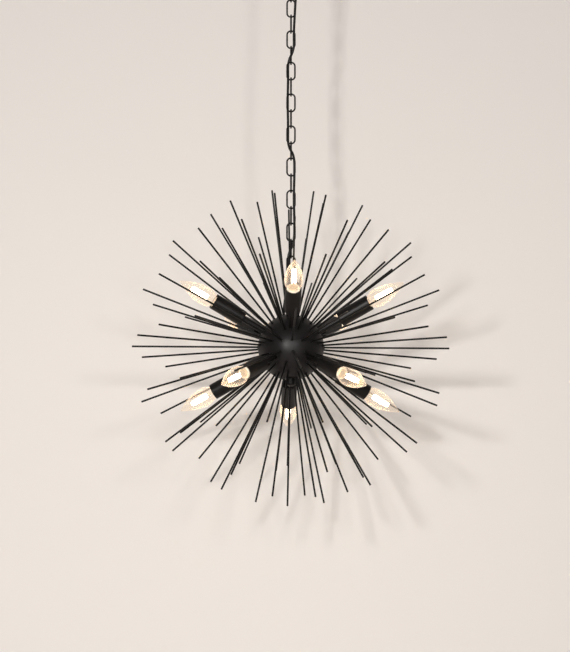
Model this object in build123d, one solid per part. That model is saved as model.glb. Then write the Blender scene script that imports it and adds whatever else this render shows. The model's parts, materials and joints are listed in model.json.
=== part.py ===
"""Sputnik chandelier: a drilled hub with 110 straight rods and 10 candle lamps on a link chain.

Millimetres, +Z up. The origin is the middle of the ceiling face, and the chandelier hangs below it.
Azimuth 0 points to the front (-Y) and turns towards +X; a polar angle counts down from straight up.
Every solid is modelled where it hangs at rest.
"""

import os
from math import cos, pi, radians, sin, sqrt, tan

from build123d import *

# ---------------------------------------------------------------------------------- driving sizes
RUNNING_CLEARANCE = 0.05  # radial, between a tube or rod and the hole that it goes through
SEAT_GAP = 0.02  # left where a flat piece lies on a curved wall

# Threaded tube, nuts and their holes (10 mm lighting thread, cut as a plain cylinder)
THREAD_RADIUS = 5.0
THREAD_BORE_RADIUS = 3.5
NUT_ACROSS_FLATS = 14.0
NUT_THICKNESS = 3.5

# Ceiling bracket
BRACKET_END_MARGIN = 5.0  # steel left outside each slot
BRACKET_WIDTH = 22.0
BRACKET_THICKNESS = 2.0
BRACKET_DROP = 8.0  # how far the middle lies below the two ends
BRACKET_FLAT_LENGTH = 28.0  # each end that lies on the ceiling
SLOT_SPACING = 82.0
SLOT_LENGTH = 18.0
SLOT_WIDTH = 5.0

# Canopy, its collar and its loop
CANOPY_RADIUS = 60.0
CANOPY_DEPTH = 26.0
CANOPY_WALL = 1.0
CANOPY_EDGE_RADIUS = 6.0
COLLAR_TOP_RADIUS = 14.0
COLLAR_BOTTOM_RADIUS = 9.5
COLLAR_HEIGHT = 8.0
LOOP_BASE_RADIUS = 9.0
LOOP_BASE_HEIGHT = 12.0
LOOP_NECK_RADIUS = 5.0
LOOP_RING_RADIUS = 9.0  # to the middle of the ring's wire
LOOP_WIRE = 4.0
LOOP_SOCKET_DEPTH = 6.0

# Chain
LINK_COUNT = 20
LINK_LENGTH = 39.1
LINK_WIDTH = 18.5
LINK_WIRE = 3.2
LINK_GAP = 0.1  # between the wires of two links, where one hangs in the other
LINK_WIRE_SIDES = 8
LINK_BEND_CHORDS = 8  # straight pieces in each half turn

# Supply cord and the two bushings that it goes through
CORD_DIAMETER = 4.8
CORD_CLEARANCE = 0.3  # radial, between the cord and a bushing
BUSHING_FLANGE_RADIUS = 5.6
BUSHING_FLANGE_THICKNESS = 1.6
BUSHING_NECK_RADIUS = 3.9
BUSHING_NECK_LENGTH = 5.0
CANOPY_BUSHING_XY = (14.0, -16.0)
HUB_BUSHING_POLAR = 17.8
HUB_BUSHING_AZIMUTH = 218.0

# Hub
HUB_RADIUS = 62.0
HUB_WALL = 2.5
HUB_SPLIT_HEIGHT = -10.8  # from the hub's middle
HUB_LIP_HEIGHT = 5.0  # how far the lower shell's inner lip reaches into the upper shell
HUB_LIP_ROOT = 3.5  # how far the lip runs down inside the lower shell
HUB_LIP_WALL = 1.4
HUB_TOP_TO_CHAIN = 15.0  # from the hub's top to the middle of the lowest link's wire
CAP_NUT_RADIUS = 8.5
CAP_NUT_LENGTH = 13.0
TERMINAL_RADIUS = 15.0
TERMINAL_HALF_HEIGHT = 14.0

# Rods: the drilling schedule, one row at a time: polar angle, number of rods, first azimuth
ROD_ROWS = (
    (13.0, 5, 38.0),
    (31.0, 10, 23.0),
    (51.5, 15, 0.0),
    (69.5, 15, 11.0),
    (90.0, 20, 0.0),
    (110.0, 15, 2.0),
    (128.5, 15, 12.0),
    (150.0, 10, 24.0),
    (167.0, 5, 40.0),
)
ROD_DIAMETER = 3.5
ROD_SIDES = 8
ROD_TIP_RADIUS = 298.5  # from the hub's middle to a rod's free end
ROD_TAIL = 6.5  # how far a rod reaches in past the hub's inner wall

# Lamps: five above the middle and five between them below it
LAMP_ROWS = ((63.435, 5, 0.0), (116.565, 5, 36.0))
ARM_RADIUS = 6.0
ARM_SEAT_DEPTH = 0.5  # how deep the spot-faced seat is cut below the hub's surface
ARM_SEAT_RADIUS = 7.0
ARM_NIPPLE_TAIL = 9.5  # how far the arm's threaded tube reaches in past the hub's inner wall
ARM_LENGTH = 45.5
SLEEVE_LENGTH = 64.0
SLEEVE_RADIUS = 15.0
SLEEVE_WALL = 1.0
SLEEVE_BASE = 2.0
SLEEVE_EDGE_RADIUS = 2.0
HOLDER_RADIUS = 12.5
HOLDER_RECESS = 2.0  # how far the holder's rim lies inside the sleeve's mouth
BULB_STANDOFF = 1.0  # between the holder's rim and the glass
HOLDER_FOOT = 10.0  # the solid foot that screws onto the nipple
NIPPLE_ENGAGEMENT = 7.0
CAP_RADIUS = 6.9  # small Edison screw cap of a candle bulb
CAP_CLEARANCE = 0.1
CAP_LENGTH = 26.0
CAP_CONTACT_RADIUS = 2.6
BULB_RADIUS = 17.5
BULB_LENGTH = 74.0
BULB_NECK_RADIUS = 7.6
BULB_SHOULDER = (14.9, 7.5)  # radius and height above the neck where the shoulder meets the body
BULB_WIDEST_HEIGHT = 19.2  # above the neck
BULB_FLANK = (10.85, 53.3)  # radius and height where the body runs out into the straight tip
BULB_TIP = (2.4, 72.2)  # radius and height where the rounding of the tip starts
BULB_TIP_FLAT = 0.9  # radius of the small flat at the very tip
BULB_WALL = 0.8
STEM_RADIUS = 3.2
STEM_DISC = 1.2
FILAMENT_RADIUS = 0.9
FILAMENT_LENGTH = 36.0
FILAMENT_HEIGHT = 14.0  # of the filaments' lower ends above the bulb's neck
FILAMENT_COUNT = 4
FILAMENT_CIRCLE = 2.2
LAMP_WIRE_RADIUS = 1.6

# ----------------------------------------------------------------------------------- worked places
BRACKET_LENGTH = SLOT_SPACING + SLOT_LENGTH + 2 * BRACKET_END_MARGIN
COLLAR_BOTTOM = -(CANOPY_DEPTH + COLLAR_HEIGHT)
LOOP_BOTTOM = COLLAR_BOTTOM - LOOP_BASE_HEIGHT
RING_OVERLAP = 1.0  # how deep the ring's wire middle is sunk in the foot of a loop
CANOPY_RING_MIDDLE = LOOP_BOTTOM + RING_OVERLAP - LOOP_RING_RADIUS
CANOPY_CROWN = CANOPY_RING_MIDDLE - LOOP_RING_RADIUS
LINK_REACH = LINK_LENGTH - LINK_WIRE  # between the wire middles of a link's two crowns
FIRST_LINK_TOP = CANOPY_CROWN + (LOOP_WIRE + LINK_WIRE) / 2 + LINK_GAP
LINK_PITCH = LINK_REACH - LINK_WIRE - LINK_GAP
LOWEST_CROWN = FIRST_LINK_TOP - LINK_REACH - (LINK_COUNT - 1) * LINK_PITCH
HUB_MIDDLE = LOWEST_CROWN - HUB_TOP_TO_CHAIN - HUB_RADIUS
HUB_INNER_RADIUS = HUB_RADIUS - HUB_WALL
HUB_CROWN = LOWEST_CROWN + (LINK_WIRE + LOOP_WIRE) / 2 + LINK_GAP
NUT_CORNER_RADIUS = NUT_ACROSS_FLATS / 2 / cos(pi / 6)
HOLE_RADIUS = THREAD_RADIUS + RUNNING_CLEARANCE
ROD_START_RADIUS = HUB_INNER_RADIUS - ROD_TAIL
ARM_START_RADIUS = HUB_RADIUS - ARM_SEAT_DEPTH
ARM_NIPPLE_START = HUB_INNER_RADIUS - ARM_NIPPLE_TAIL
SLEEVE_START = ARM_START_RADIUS + ARM_LENGTH
POLE_SEAT = sqrt(HUB_RADIUS**2 - (LOOP_BASE_RADIUS + 1) ** 2)  # flats cut on the hub's two poles
HOLDER_START = SLEEVE_START + SLEEVE_BASE
HOLDER_END = SLEEVE_START + SLEEVE_LENGTH - HOLDER_RECESS
BULB_START = HOLDER_END + BULB_STANDOFF
CAP_START = BULB_START - CAP_LENGTH
NIPPLE_END = HOLDER_START + NIPPLE_ENGAGEMENT

# Route of the supply cord, chosen by hand: it changes sides through the 16th, 10th and 4th link,
# counted from the hub, and otherwise lies in the valley between the links.
CORD_ROUTE = (
    (14.0, -16.0, -14.0),
    (14.0, -16.0, -40.0),
    (9.6, -10.4, -80.0),
    (7.2, -5.3, -124.0),
    (5.1, -6.4, -166.0),
    (6.1, -6.0, -197.6),
    (-6.1, 6.0, -218.2),
    (-5.2, 6.6, -252.0),
    (-6.6, 5.2, -300.0),
    (-5.3, 5.9, -352.0),
    (-6.0, 6.1, -392.6),
    (6.0, -6.1, -413.6),
    (6.6, -5.1, -449.0),
    (5.0, -6.6, -498.0),
    (6.5, -5.4, -549.0),
    (6.0, -6.1, -588.6),
    (-6.0, 6.1, -609.2),
    (-5.0, 6.4, -640.0),
    (-6.3, 5.2, -674.0),
    (-14.9, 19.0, -716.6),
    (-8.0, 10.2, -750.5),
    (-7.5, 9.6, -777.2),
)


# ------------------------------------------------------------------------------------ shared forms
def direction(polar: float, azimuth: float) -> Vector:
    """Unit vector from the hub's middle, for the two angles in degrees."""
    flat = sin(radians(polar))
    return Vector(flat * sin(radians(azimuth)), -flat * cos(radians(azimuth)), cos(radians(polar)))


def hub_axis(polar: float, azimuth: float) -> Location:
    """Place that turns +Z into the given direction, seen from the hub's middle."""
    return Plane(origin=(0, 0, HUB_MIDDLE), z_dir=direction(polar, azimuth)).location


def row_axes(rows: tuple) -> list[Location]:
    """One place for each rod or lamp of the rows, evenly spaced round the hub."""
    places = []
    for polar, count, first in rows:
        for index in range(count):
            places.append(hub_axis(polar, first + 360.0 * index / count))
    return places


def turned(*corners: tuple[float, float]) -> Part:
    """Solid turned about Z from a closed outline of (radius, height) corners."""
    outline = make_face(Polyline(*corners, close=True))
    return revolve(Plane.XZ * outline, Axis.Z)


def tube(outer: float, inner: float, low: float, high: float) -> Part:
    """Round tube about Z."""
    return turned((inner, low), (outer, low), (outer, high), (inner, high))


def hex_nut(low: float) -> Part:
    """Hexagon nut about Z, standing on the given height."""
    blank = extrude(RegularPolygon(NUT_CORNER_RADIUS, 6), NUT_THICKNESS)
    bore = Cylinder(HOLE_RADIUS, 3 * NUT_THICKNESS)
    return Pos(0, 0, low) * (blank - bore)


def hub_wall(keep: Keep) -> Part:
    """Spherical wall above or below the split, round the origin."""
    wall = Sphere(HUB_RADIUS) - Sphere(HUB_INNER_RADIUS)
    return split(wall, Plane.XY.offset(HUB_SPLIT_HEIGHT), keep=keep)


def bushing() -> Part:
    """Cord bushing about Z: a flange that lies on the outside at Z 0 and a neck through the wall."""
    bore = CORD_DIAMETER / 2 + CORD_CLEARANCE
    flange_top = BUSHING_FLANGE_THICKNESS
    return turned(
        (bore, -BUSHING_NECK_LENGTH),
        (BUSHING_NECK_RADIUS, -BUSHING_NECK_LENGTH),
        (BUSHING_NECK_RADIUS, 0),
        (BUSHING_FLANGE_RADIUS, 0),
        (BUSHING_FLANGE_RADIUS - 0.8, flange_top),
        (bore, flange_top),
    )


def ring_loop(ring_middle: float, foot: Part) -> Part:
    """Loop of round wire in the XZ plane, fused to the foot that carries it."""
    ring = Pos(0, 0, ring_middle) * Rot(90, 0, 0) * Torus(LOOP_RING_RADIUS, LOOP_WIRE / 2)
    return ring + foot


# ----------------------------------------------------------------------------------------- ceiling
def ceiling_bracket() -> Part:
    """Bent steel crossbar: two slotted ends on the ceiling and a lowered middle with the hole."""
    end = BRACKET_LENGTH / 2
    step = end - BRACKET_FLAT_LENGTH
    ramp = BRACKET_DROP / tan(radians(60))
    low = -BRACKET_DROP
    side = FilletPolyline(
        (-end, 0),
        (-step, 0),
        (-step + ramp, low),
        (step - ramp, low),
        (step, 0),
        (end, 0),
        radius=2.0 + BRACKET_THICKNESS,
    )
    under = offset(side, amount=BRACKET_THICKNESS, side=Side.RIGHT)
    bar = extrude(Plane.XZ * make_face(under), BRACKET_WIDTH / 2, both=True)
    for x in (-SLOT_SPACING / 2, SLOT_SPACING / 2):
        bar -= Pos(x, 0, 0) * extrude(SlotOverall(SLOT_LENGTH, SLOT_WIDTH), 3 * BRACKET_THICKNESS, both=True)
    return bar - Pos(0, 0, low) * Cylinder(HOLE_RADIUS, 4 * BRACKET_THICKNESS)


def mount_nipple() -> Part:
    """Threaded tube that hangs from the bracket and holds the canopy, the collar and the loop."""
    top = -BRACKET_DROP + NUT_THICKNESS + 1.0
    return tube(THREAD_RADIUS, THREAD_BORE_RADIUS, COLLAR_BOTTOM - LOOP_SOCKET_DEPTH, top)


def nipple_nuts() -> Part:
    """Nut above the bracket's middle and lock nut below it."""
    above = hex_nut(-BRACKET_DROP)
    below = hex_nut(-BRACKET_DROP - BRACKET_THICKNESS - NUT_THICKNESS)
    return Compound([above, below])


def canopy() -> Part:
    """Spun cup that covers the bracket, with a hole for the nipple and one for the cord."""
    blank = Pos(0, 0, -CANOPY_DEPTH / 2) * Cylinder(CANOPY_RADIUS, CANOPY_DEPTH)
    blank = fillet(blank.edges().sort_by(Axis.Z)[0], CANOPY_EDGE_RADIUS)
    cup = offset(blank, amount=-CANOPY_WALL, openings=blank.faces().sort_by(Axis.Z)[-1])
    cup -= Pos(0, 0, -CANOPY_DEPTH) * Cylinder(HOLE_RADIUS, 4 * CANOPY_WALL)
    x, y = CANOPY_BUSHING_XY
    return cup - Pos(x, y, -CANOPY_DEPTH) * Cylinder(BUSHING_NECK_RADIUS + RUNNING_CLEARANCE, 4 * CANOPY_WALL)


def canopy_collar() -> Part:
    """Turned collar screwed up under the canopy."""
    top = -CANOPY_DEPTH
    return turned(
        (HOLE_RADIUS, top),
        (COLLAR_TOP_RADIUS, top),
        (COLLAR_TOP_RADIUS, top - 2.0),
        (COLLAR_BOTTOM_RADIUS + 1.0, COLLAR_BOTTOM + 2.0),
        (COLLAR_BOTTOM_RADIUS, COLLAR_BOTTOM),
        (HOLE_RADIUS, COLLAR_BOTTOM),
    )


def canopy_loop() -> Part:
    """Loop that hangs from the nipple, face on to the front, and carries the top link."""
    foot = turned(
        (0, LOOP_BOTTOM),
        (LOOP_NECK_RADIUS, LOOP_BOTTOM),
        (LOOP_BASE_RADIUS, COLLAR_BOTTOM - 3.0),
        (LOOP_BASE_RADIUS, COLLAR_BOTTOM),
        (HOLE_RADIUS, COLLAR_BOTTOM),
        (HOLE_RADIUS, COLLAR_BOTTOM - LOOP_SOCKET_DEPTH),
        (0, COLLAR_BOTTOM - LOOP_SOCKET_DEPTH),
    )
    return ring_loop(CANOPY_RING_MIDDLE, foot)


def canopy_bushing() -> Part:
    """Bushing in the canopy that the supply cord comes out of."""
    x, y = CANOPY_BUSHING_XY
    return Pos(x, y, -CANOPY_DEPTH) * Rot(180, 0, 0) * bushing()


# ------------------------------------------------------------------------------------------- chain
def link_path() -> list[Vector]:
    """Corners of a link's wire middle in the XZ plane, with one at the middle of each crown."""
    bend = (LINK_WIDTH - LINK_WIRE) / 2
    straight = (LINK_LENGTH - LINK_WIDTH) / 2
    corners = []
    for side in (1, -1):
        for step in range(LINK_BEND_CHORDS + 1):
            angle = pi * step / LINK_BEND_CHORDS
            corners.append(Vector(side * bend * cos(angle), 0, side * (straight + bend * sin(angle))))
    return corners


def wire_loop(path: list[Vector], corner_radius: float, sides: int) -> Solid:
    """Closed loop of many-sided wire, mitred at every corner of a path in the XZ plane."""
    across = Vector(0, 1, 0)
    rings = []
    for index, corner in enumerate(path):
        before = (corner - path[index - 1]).normalized().cross(across)
        after = (path[(index + 1) % len(path)] - corner).normalized().cross(across)
        mitre = (before + after).normalized()
        stretch = corner_radius / mitre.dot(before)
        ring = []
        for side in range(sides):
            turn = 2 * pi * side / sides
            ring.append(corner + mitre * (stretch * cos(turn)) + across * (corner_radius * sin(turn)))
        rings.append(ring)
    faces = []
    for index, ring in enumerate(rings):
        previous = rings[index - 1]
        for side in range(sides):
            quad = (previous[side - 1], previous[side], ring[side], ring[side - 1])
            faces.append(Face(Wire.make_polygon(quad, close=True)))
    return Solid(Shell(faces))


def link_top(number: int) -> float:
    """Height of the wire middle at a link's upper crown; link 1 is the lowest."""
    return FIRST_LINK_TOP - (LINK_COUNT - number) * LINK_PITCH


def chain_link(number: int) -> Part:
    """One welded link: odd links face the front and even ones stand edge on."""
    corner_radius = LINK_WIRE / 2 * cos(pi / (2 * LINK_BEND_CHORDS))
    loop = wire_loop(link_path(), corner_radius, LINK_WIRE_SIDES)
    quarter_turn = 0 if number % 2 else 90
    return Pos(0, 0, link_top(number) - LINK_REACH / 2) * Rot(0, 0, quarter_turn) * loop


# -------------------------------------------------------------------------------------------- cord
def cord_radii() -> list[float]:
    """Bend radius at each inner point of the route: 0.45 of the shorter run over half the turn."""
    route = [Vector(*point) for point in CORD_ROUTE]
    radii = []
    for before, corner, after in zip(route, route[1:], route[2:]):
        arriving = corner - before
        leaving = after - corner
        half_turn = radians(arriving.get_angle(leaving) / 2)
        radii.append(0.45 * min(arriving.length, leaving.length) / tan(half_turn))
    return radii


def supply_cord() -> Part:
    """Supply cord, whole, from its tail in the canopy to the terminal block in the hub."""
    radii = cord_radii()
    path = FilletPolyline(*CORD_ROUTE, radius=radii)
    section = Plane(origin=path @ 0, z_dir=path % 0) * Circle(CORD_DIAMETER / 2)
    cord = sweep(section, path=path)
    expected = pi * CORD_DIAMETER**2 / 4 * path.length
    print("cord bend radii:", " ".join(f"{radius:.0f}" for radius in radii))
    print(f"cord length {path.length:.1f}, volume {cord.volume:.0f}, section x length {expected:.0f}")
    return cord


# --------------------------------------------------------------------------------------------- hub
def rod_drills(rows: tuple) -> Compound:
    """The drill, at every rod of the rows."""
    drill = Pos(0, 0, HUB_RADIUS) * Cylinder(ROD_DIAMETER / 2 + RUNNING_CLEARANCE, 4 * HUB_WALL)
    return Compound([place * drill for place in row_axes(rows)])


def lamp_drills(rows: tuple) -> Compound:
    """The hole and the flat seat of every lamp arm of the rows."""
    hole = Pos(0, 0, HUB_RADIUS) * Cylinder(HOLE_RADIUS, 4 * HUB_WALL)
    seat = tube(ARM_SEAT_RADIUS, 0, ARM_START_RADIUS, HUB_RADIUS + HUB_WALL)
    return Compound([place * (hole + seat) for place in row_axes(rows)])


def pole_drill(side: int) -> Part:
    """The hole for the centre tube and the flat seat round it, at the top (1) or bottom (-1)."""
    hole = Pos(0, 0, side * HUB_RADIUS) * Cylinder(HOLE_RADIUS, 6 * HUB_WALL)
    seat = Pos(0, 0, side * (POLE_SEAT + HUB_WALL)) * Cylinder(LOOP_BASE_RADIUS + 1, 2 * HUB_WALL)
    return Pos(0, 0, HUB_MIDDLE) * (hole + seat)


def bushing_seat() -> float:
    """Distance from the hub's middle to the flat that the cord bushing lies on."""
    return sqrt(HUB_RADIUS**2 - (BUSHING_FLANGE_RADIUS + 0.4) ** 2)


def bushing_drill() -> Part:
    """The hole and the flat seat of the cord bushing."""
    hole = Pos(0, 0, HUB_RADIUS) * Cylinder(BUSHING_NECK_RADIUS + RUNNING_CLEARANCE, 4 * HUB_WALL)
    seat = tube(BUSHING_FLANGE_RADIUS + 0.4, 0, bushing_seat(), HUB_RADIUS + HUB_WALL)
    return hub_axis(HUB_BUSHING_POLAR, HUB_BUSHING_AZIMUTH) * (hole + seat)


def rows_above_split(rows: tuple) -> tuple:
    """The rows whose holes lie in the upper shell."""
    return tuple(row for row in rows if HUB_RADIUS * cos(radians(row[0])) > HUB_SPLIT_HEIGHT)


def rows_below_split(rows: tuple) -> tuple:
    """The rows whose holes lie in the lower shell."""
    return tuple(row for row in rows if row not in rows_above_split(rows))


def hub_upper_shell() -> Part:
    """Upper shell, down to the split below the widest row, with its drilled holes and seats."""
    shell = Pos(0, 0, HUB_MIDDLE) * hub_wall(Keep.TOP)
    shell -= rod_drills(rows_above_split(ROD_ROWS))
    shell -= lamp_drills(rows_above_split(LAMP_ROWS))
    return shell - pole_drill(1) - bushing_drill()


def hub_lower_shell() -> Part:
    """Lower shell, with an inner lip that slips into the upper one."""
    lip_radius = sqrt(HUB_INNER_RADIUS**2 - HUB_SPLIT_HEIGHT**2) - RUNNING_CLEARANCE
    lip_foot = HUB_SPLIT_HEIGHT - HUB_LIP_ROOT
    lip_top = HUB_SPLIT_HEIGHT + HUB_LIP_HEIGHT
    lip = tube(lip_radius, lip_radius - HUB_LIP_WALL, lip_foot, lip_top)
    shell = Pos(0, 0, HUB_MIDDLE) * (hub_wall(Keep.BOTTOM) + lip)
    shell -= rod_drills(rows_below_split(ROD_ROWS))
    shell -= lamp_drills(rows_below_split(LAMP_ROWS))
    return shell - pole_drill(-1)


def hub_loop() -> Part:
    """Loop on the hub's top, edge on to the front, that hangs in the lowest link."""
    seat = HUB_MIDDLE + POLE_SEAT
    ring_middle = HUB_CROWN - LOOP_RING_RADIUS
    foot_top = ring_middle - LOOP_RING_RADIUS + RING_OVERLAP
    foot = turned(
        (HOLE_RADIUS, seat),
        (LOOP_BASE_RADIUS, seat),
        (LOOP_BASE_RADIUS, seat + 1.0),
        (LOOP_BASE_RADIUS - 1.0, foot_top),
        (0, foot_top),
        (0, foot_top - 0.6),
        (HOLE_RADIUS, foot_top - 0.6),
    )
    ring = Pos(0, 0, ring_middle) * Rot(0, 90, 0) * Torus(LOOP_RING_RADIUS, LOOP_WIRE / 2)
    socket = Pos(0, 0, seat) * Cylinder(HOLE_RADIUS, 2 * (foot_top - 0.6 - seat))
    return ring + foot - socket


def centre_tube() -> Part:
    """Threaded tube down the middle of the hub that the loop and the cap nut close the shells on."""
    top = HUB_CROWN - 2 * LOOP_RING_RADIUS + RING_OVERLAP - 0.6 - SEAT_GAP
    bottom = HUB_MIDDLE - POLE_SEAT - CAP_NUT_LENGTH / 2
    return tube(THREAD_RADIUS, THREAD_BORE_RADIUS, bottom, top)


def tube_nuts() -> Part:
    """Two nuts that hold the terminal block on the centre tube."""
    above = hex_nut(HUB_MIDDLE + TERMINAL_HALF_HEIGHT)
    below = hex_nut(HUB_MIDDLE - TERMINAL_HALF_HEIGHT - NUT_THICKNESS)
    return Compound([above, below])


def bottom_cap_nut() -> Part:
    """Domed nut under the hub."""
    top = HUB_MIDDLE - POLE_SEAT
    bottom = top - CAP_NUT_LENGTH
    blank = Pos(0, 0, (top + bottom) / 2) * Cylinder(CAP_NUT_RADIUS, CAP_NUT_LENGTH)
    blank = fillet(blank.edges().sort_by(Axis.Z)[0], CAP_NUT_RADIUS * 0.6)
    return blank - Pos(0, 0, top) * Cylinder(HOLE_RADIUS, CAP_NUT_LENGTH + 2 * SEAT_GAP)


def hub_bushing() -> Part:
    """Bushing in the hub's top that the supply cord goes into."""
    return hub_axis(HUB_BUSHING_POLAR, HUB_BUSHING_AZIMUTH) * Pos(0, 0, bushing_seat()) * bushing()


def terminal_block() -> Part:
    """Round terminal block on the centre tube, where the cord meets the lamps' wires."""
    low = HUB_MIDDLE - TERMINAL_HALF_HEIGHT
    high = HUB_MIDDLE + TERMINAL_HALF_HEIGHT
    return tube(TERMINAL_RADIUS, HOLE_RADIUS, low, high)


def rods_row(row: tuple) -> Part:
    """One row of straight rods, each standing in its drilled hole."""
    outline = RegularPolygon(ROD_DIAMETER / 2, ROD_SIDES)
    rod = Pos(0, 0, ROD_START_RADIUS) * extrude(outline, ROD_TIP_RADIUS - ROD_START_RADIUS)
    return Compound([place * rod for place in row_axes((row,))])


# ------------------------------------------------------------------------------------------- lamps
def arm_nipple() -> Part:
    """Threaded tube through the hub's wall, the arm and the sleeve's base into the lampholder."""
    return tube(THREAD_RADIUS, THREAD_BORE_RADIUS, ARM_NIPPLE_START, NIPPLE_END)


def arm_tube() -> Part:
    """Plain spacer tube that shows between the hub and the sleeve."""
    return tube(ARM_RADIUS, HOLE_RADIUS, ARM_START_RADIUS, SLEEVE_START)


def arm_locknut() -> Part:
    """Nut inside the hub, its corners on the shell's inner wall."""
    face = sqrt(HUB_INNER_RADIUS**2 - NUT_CORNER_RADIUS**2) - SEAT_GAP
    return hex_nut(face - NUT_THICKNESS)


def lamp_sleeve() -> Part:
    """Thin cup round the lampholder, open at the bulb's end."""
    blank = Pos(0, 0, SLEEVE_START + SLEEVE_LENGTH / 2) * Cylinder(SLEEVE_RADIUS, SLEEVE_LENGTH)
    blank = fillet(blank.edges().sort_by(Axis.Z)[0], SLEEVE_EDGE_RADIUS)
    inside = tube(SLEEVE_RADIUS - SLEEVE_WALL, 0, HOLDER_START, SLEEVE_START + SLEEVE_LENGTH + 1)
    return blank - inside - Pos(0, 0, SLEEVE_START) * Cylinder(HOLE_RADIUS, 4 * SLEEVE_BASE)


def lampholder() -> Part:
    """Lampholder: a foot screwed onto the nipple and a barrel that takes the bulb's cap."""
    bore = CAP_RADIUS + CAP_CLEARANCE
    floor = HOLDER_START + HOLDER_FOOT
    return turned(
        (HOLE_RADIUS, HOLDER_START),
        (HOLDER_RADIUS, HOLDER_START),
        (HOLDER_RADIUS, HOLDER_END - 1.5),
        (HOLDER_RADIUS - 1.5, HOLDER_END),
        (bore, HOLDER_END),
        (bore, floor),
        (LAMP_WIRE_RADIUS + 1.0, floor),
        (LAMP_WIRE_RADIUS + 1.0, NIPPLE_END + SEAT_GAP),
        (HOLE_RADIUS, NIPPLE_END + SEAT_GAP),
    )


def bulb_cap() -> Part:
    """Screw cap of the bulb, with its insulated end and contact."""
    return turned(
        (0, CAP_START),
        (CAP_CONTACT_RADIUS, CAP_START),
        (CAP_CONTACT_RADIUS, CAP_START + 1.5),
        (CAP_RADIUS - 1.2, CAP_START + 4.0),
        (CAP_RADIUS, CAP_START + 6.0),
        (CAP_RADIUS, BULB_START - 0.8),
        (BULB_NECK_RADIUS, BULB_START),
        (0, BULB_START),
    )


def bulb_side(shrink: float, tip: float) -> list[tuple[float, float]]:
    """Corners (radius, height) on the candle envelope's tangent arcs, moved inwards, neck to tip."""
    widest = Vector(BULB_RADIUS - shrink, BULB_START + BULB_WIDEST_HEIGHT)
    neck = (BULB_NECK_RADIUS - shrink, BULB_START)
    shoulder, flank, turn = (
        (radius - shrink, BULB_START + height) for radius, height in (BULB_SHOULDER, BULB_FLANK, BULB_TIP)
    )
    belly = TangentArc(widest, shoulder, tangent=(0, -1))
    shoulder_arc = TangentArc(shoulder, neck, tangent=belly % 1)
    body = TangentArc(widest, flank, tangent=(0, 1))
    slope = TangentArc(flank, turn, tangent=body % 1)
    rounding = TangentArc(turn, (BULB_TIP_FLAT, tip), tangent=slope % 1)
    corners = [shoulder_arc @ (1 - step / 4) for step in range(4)]
    corners += [belly @ (1 - step / 4) for step in range(4)]
    corners += [body @ (step / 8) for step in range(8)]
    corners += [slope @ (step / 2) for step in range(2)]
    corners += [rounding @ (step / 3) for step in range(4)]
    return [(corner.X, corner.Y) for corner in corners]


def bulb_glass() -> Part:
    """Hollow candle-shaped glass, standing on the cap."""
    tip = BULB_START + BULB_LENGTH
    outside = bulb_side(0, tip)
    inside = bulb_side(BULB_WALL, tip - BULB_WALL)
    return turned(*outside, (0, tip), (0, tip - BULB_WALL), *reversed(inside))


def bulb_stem() -> Part:
    """Glass stem inside the bulb: a foot on the cap, a post, and a disc at each filament end."""
    low = BULB_START + FILAMENT_HEIGHT
    high = low + FILAMENT_LENGTH
    return turned(
        (0, BULB_START),
        (STEM_RADIUS + 1.0, BULB_START),
        (STEM_RADIUS - 1.0, low - STEM_DISC - 2.0),
        (STEM_RADIUS, low - STEM_DISC),
        (STEM_RADIUS, low),
        (FILAMENT_CIRCLE / 3, low),
        (FILAMENT_CIRCLE / 3, high),
        (STEM_RADIUS, high),
        (STEM_RADIUS - 1.0, high + STEM_DISC),
        (0, high + STEM_DISC),
    )


def bulb_filament() -> Part:
    """Straight filament sticks round the stem's post."""
    stick = extrude(RegularPolygon(FILAMENT_RADIUS, 6), FILAMENT_LENGTH)
    low = BULB_START + FILAMENT_HEIGHT
    sticks = []
    for index in range(FILAMENT_COUNT):
        turn = Rot(0, 0, 360.0 * index / FILAMENT_COUNT)
        sticks.append(Pos(0, 0, low) * turn * Pos(FILAMENT_CIRCLE, 0, 0) * stick)
    return Compound(sticks)


def lamp_wire() -> Part:
    """Wire from the terminal block through the nipple to the lampholder's floor."""
    start = TERMINAL_RADIUS / sin(radians(LAMP_ROWS[0][0])) + LAMP_WIRE_RADIUS
    return tube(LAMP_WIRE_RADIUS, 0, start, HOLDER_START + HOLDER_FOOT)


def on_every_lamp(piece: Part) -> Compound:
    """The same piece on each of the lamp axes."""
    return Compound([place * piece for place in row_axes(LAMP_ROWS)])


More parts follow.
